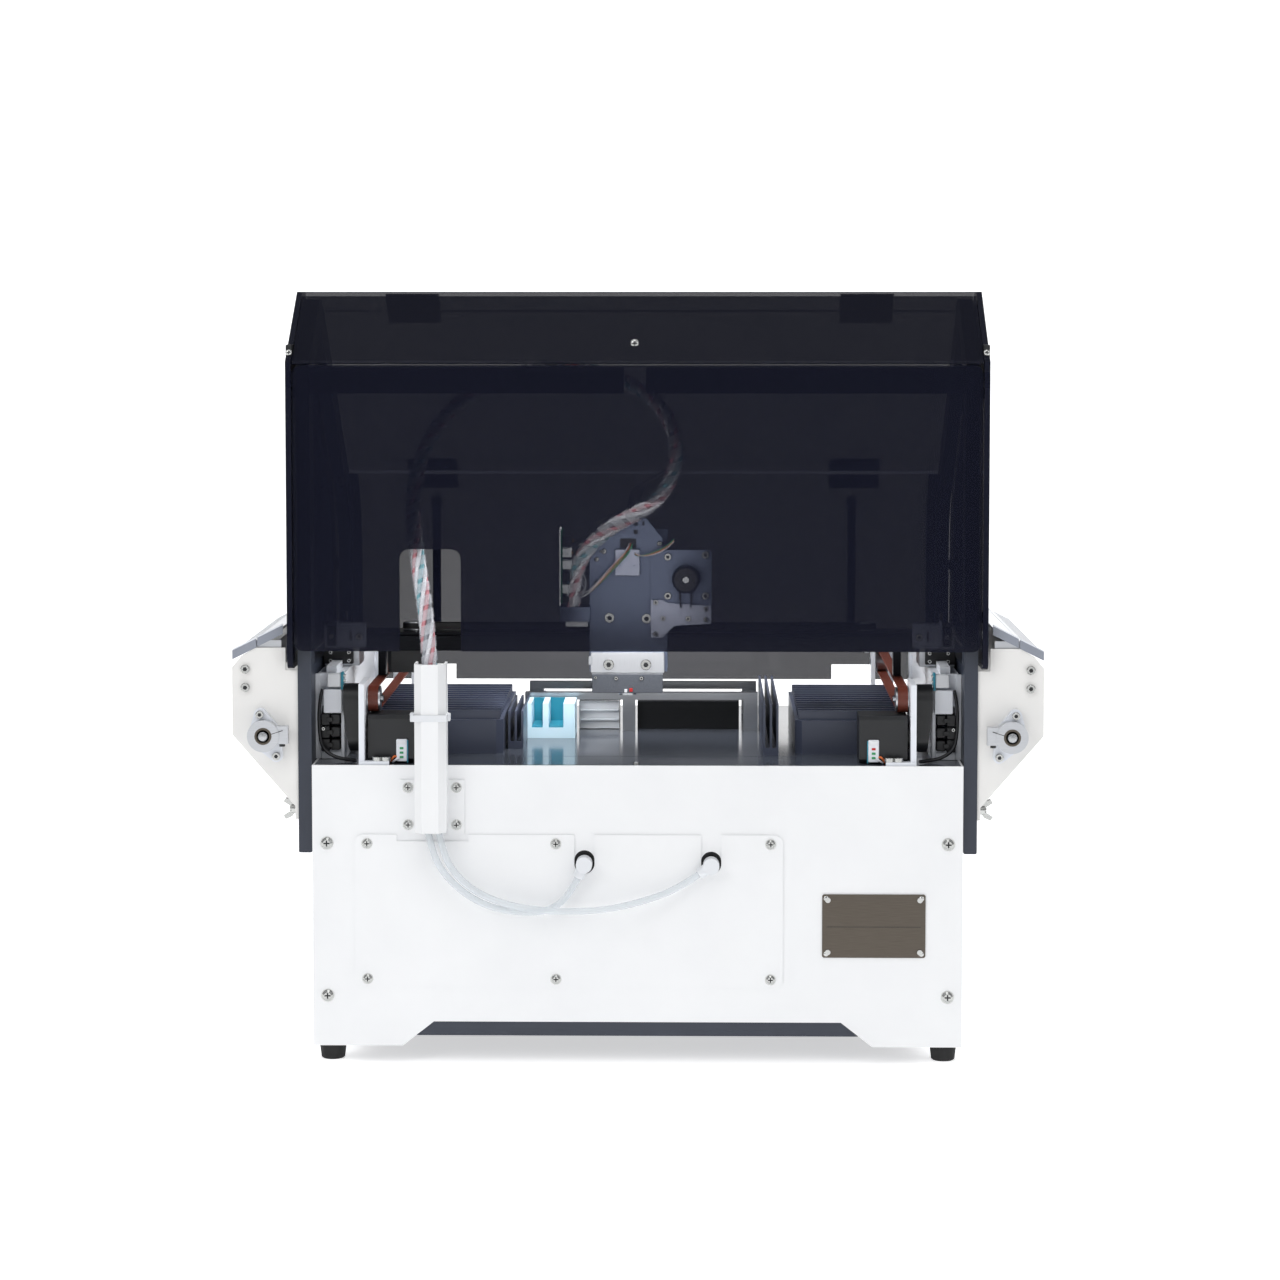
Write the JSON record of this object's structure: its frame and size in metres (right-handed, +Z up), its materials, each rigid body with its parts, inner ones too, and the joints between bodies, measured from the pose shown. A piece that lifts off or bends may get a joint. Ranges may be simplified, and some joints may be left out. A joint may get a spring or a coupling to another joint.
{
  "type": "desktop pick and place machine",
  "caption": "Benchtop pick-and-place machine: gantry head with two nozzles over a feeder table, smoked folding cover, side film take-ups and rear cable riser.",
  "frame": {"origin": "centre of the footprint box on the floor, under the rubber feet", "axes": "+X right seen from the rear cable side, +Y towards the operator's front, +Z up"},
  "size_m": [0.724, 0.49, 0.69],
  "materials": {
    "white_powder_coat": "fine texture powder coat",
    "slate_powder_coat": "fine texture powder coat",
    "table_enamel": "gloss",
    "smoked_acrylic": "gloss, tinted",
    "wing_paint": "satin powder coat",
    "black_oxide": "satin black",
    "black_anodised": "satin anodised",
    "head_anodised": "blue-grey anodised",
    "bright_aluminium": "brushed",
    "machined_steel": "machined",
    "zinc_steel": "nickel plated",
    "etched_steel": "dark brushed",
    "foot_rubber": "matte",
    "roller_rubber": "matte",
    "belt_polyurethane": "satin",
    "belt_neoprene": "matte",
    "bundle_wrap": "clear spiral wrap over coloured wires",
    "clear_tube": "clear polyurethane",
    "white_plastic": "moulded",
    "blue_plastic": "printed",
    "navy_plastic": "printed",
    "black_plastic": "moulded",
    "red_plastic": "moulded",
    "circuit_board": "solder mask"
  },
  "bodies": {
    "base": {"rear_panel": "white_powder_coat", "base_shell": "white_powder_coat", "bottom_tray": "slate_powder_coat", "rubber_feet": "foot_rubber", "table_plate": "table_enamel", "access_panel": "white_powder_coat", "fasteners": "zinc_steel", "data_plate": "etched_steel", "riser_channel": "white_powder_coat", "air_fittings": "white_plastic", "umbilical": "bundle_wrap", "air_tube_a": "clear_tube", "air_tube_b": "clear_tube", "side_plates": "slate_powder_coat", "cover_sides": "smoked_acrylic", "cover_rear_panel": "smoked_acrylic", "cover_ridge_panel": "smoked_acrylic", "cover_crossbars": "black_oxide", "ridge_hinge_leaves": "black_oxide", "y_rails": "white_powder_coat", "y_motors": "black_oxide", "belt_brackets": "white_powder_coat", "belt_guards": "black_plastic", "y_belts": "belt_polyurethane", "feeder_banks": "navy_plastic", "parts_tray": "blue_plastic", "table_boxes": "black_plastic", "board_clamp_frame": "bright_aluminium", "wing_frames": "wing_paint", "tape_guides": "bright_aluminium", "wing_bearings": "white_plastic", "control_bodies": "black_plastic", "power_supply": "machined_steel", "control_board": "circuit_board", "vacuum_pumps": "black_plastic"},
    "lid": {"top_lid": "smoked_acrylic", "lid_hinge_leaves": "black_oxide"},
    "flap": {"front_flap": "smoked_acrylic", "flap_fittings": "black_oxide"},
    "gantry": {"x_beam": "black_anodised", "gantry_ends": "bright_aluminium", "x_motor": "black_oxide", "x_belt": "belt_neoprene"},
    "head": {"head_plate": "head_anodised", "z_motor": "black_oxide", "head_foot": "bright_aluminium"},
    "lift_pulley": {"z_pulley": "black_anodised"},
    "carrier_a": {"nozzle_carrier_a": "black_anodised"},
    "carrier_b": {"nozzle_carrier_b": "black_anodised"},
    "nozzle_a": {"nozzle_a": "machined_steel"},
    "nozzle_b": {"nozzle_b": "machined_steel"},
    "y_drive": {"y_drive_pulleys": "bright_aluminium"},
    "y_idlers": {"y_idler_pulleys": "bright_aluminium"},
    "x_drive": {"x_drive_pulley": "bright_aluminium"},
    "x_idler": {"x_idler_pulley": "bright_aluminium"},
    "clamp_slider": {"board_clamp_slider": "bright_aluminium"},
    "film_roller_left": {"film_roller_left": "roller_rubber"},
    "film_roller_right": {"film_roller_right": "roller_rubber"},
    "rocker": {"power_rocker": "black_plastic"},
    "estop": {"estop_button": "red_plastic"}
  },
  "joints": [
    {"name": "lid_hinge", "type": "hinge", "parent": "base", "child": "lid", "pos_m": [0, -0.07535, 0.67763], "axis": [1, 0, 0], "range_deg": [0, 100]},
    {"name": "flap_hinge", "type": "hinge", "parent": "lid", "child": "flap", "pos_m": [0, 0.13765, 0.51651], "axis": [1, 0, 0], "range_deg": [0, 120]},
    {"name": "gantry_slide", "type": "slide", "parent": "base", "child": "gantry", "axis": [0, 1, 0], "range_m": [-0.035, 0.19], "deforming": ["umbilical"]},
    {"name": "head_slide", "type": "slide", "parent": "gantry", "child": "head", "axis": [1, 0, 0], "range_m": [-0.15, 0.155], "deforming": ["umbilical"]},
    {"name": "nozzle_a_lift", "type": "slide", "parent": "head", "child": "carrier_a", "axis": [0, 0, 1], "range_m": [-0.0108, 0.0108]},
    {"name": "nozzle_b_lift", "type": "slide", "parent": "head", "child": "carrier_b", "axis": [0, 0, 1], "range_m": [-0.0109, 0.0109]},
    {"name": "lift_pulley_turn", "type": "hinge", "parent": "head", "child": "lift_pulley", "pos_m": [0.043, -0.147, 0.43], "axis": [0, 1, 0], "range_deg": [-51, 51]},
    {"name": "nozzle_a_spin", "type": "hinge", "parent": "carrier_a", "child": "nozzle_a", "pos_m": [-0.027, -0.051, 0.4], "axis": [0, 0, 1], "continuous": true},
    {"name": "nozzle_b_spin", "type": "hinge", "parent": "carrier_b", "child": "nozzle_b", "pos_m": [0.009, -0.051, 0.4], "axis": [0, 0, 1], "continuous": true},
    {"name": "y_drive_turn", "type": "hinge", "parent": "base", "child": "y_drive", "pos_m": [0, -0.183, 0.325], "axis": [1, 0, 0], "continuous": true},
    {"name": "y_idler_turn", "type": "hinge", "parent": "base", "child": "y_idlers", "pos_m": [0, 0.135, 0.325], "axis": [1, 0, 0], "continuous": true},
    {"name": "x_drive_turn", "type": "hinge", "parent": "gantry", "child": "x_drive", "pos_m": [-0.21, -0.097, 0.382], "axis": [0, 0, 1], "continuous": true},
    {"name": "x_idler_turn", "type": "hinge", "parent": "gantry", "child": "x_idler", "pos_m": [0.21, -0.097, 0.382], "axis": [0, 0, 1], "continuous": true},
    {"name": "board_clamp_slide", "type": "slide", "parent": "base", "child": "clamp_slider", "axis": [0, 1, 0], "range_m": [-0.06, 0.025]},
    {"name": "film_roller_left_turn", "type": "hinge", "parent": "base", "child": "film_roller_left", "pos_m": [-0.3325, -0.047, 0.2955], "axis": [0, 1, 0], "continuous": true},
    {"name": "film_roller_right_turn", "type": "hinge", "parent": "base", "child": "film_roller_right", "pos_m": [0.3325, -0.047, 0.2955], "axis": [0, 1, 0], "continuous": true},
    {"name": "power_rocker_tilt", "type": "hinge", "parent": "base", "child": "rocker", "pos_m": [-0.286, -0.119, 0.092], "axis": [0, 1, 0], "range_deg": [-8, 8]},
    {"name": "estop_press", "type": "slide", "parent": "base", "child": "estop", "axis": [0, -1, 0], "range_m": [0, 0.004], "stiffness_N_per_m": 900}
  ],
  "couplings": [
    {"joint": "nozzle_b_lift", "follows": "nozzle_a_lift", "ratio": -1},
    {"joint": "lift_pulley_turn", "follows": "nozzle_a_lift", "rad_per_m": 80.645},
    {"joint": "y_drive_turn", "follows": "gantry_slide", "rad_per_m": -90.909},
    {"joint": "y_idler_turn", "follows": "gantry_slide", "rad_per_m": -90.909},
    {"joint": "x_drive_turn", "follows": "head_slide", "rad_per_m": 125},
    {"joint": "x_idler_turn", "follows": "head_slide", "rad_per_m": 125}
  ]
}
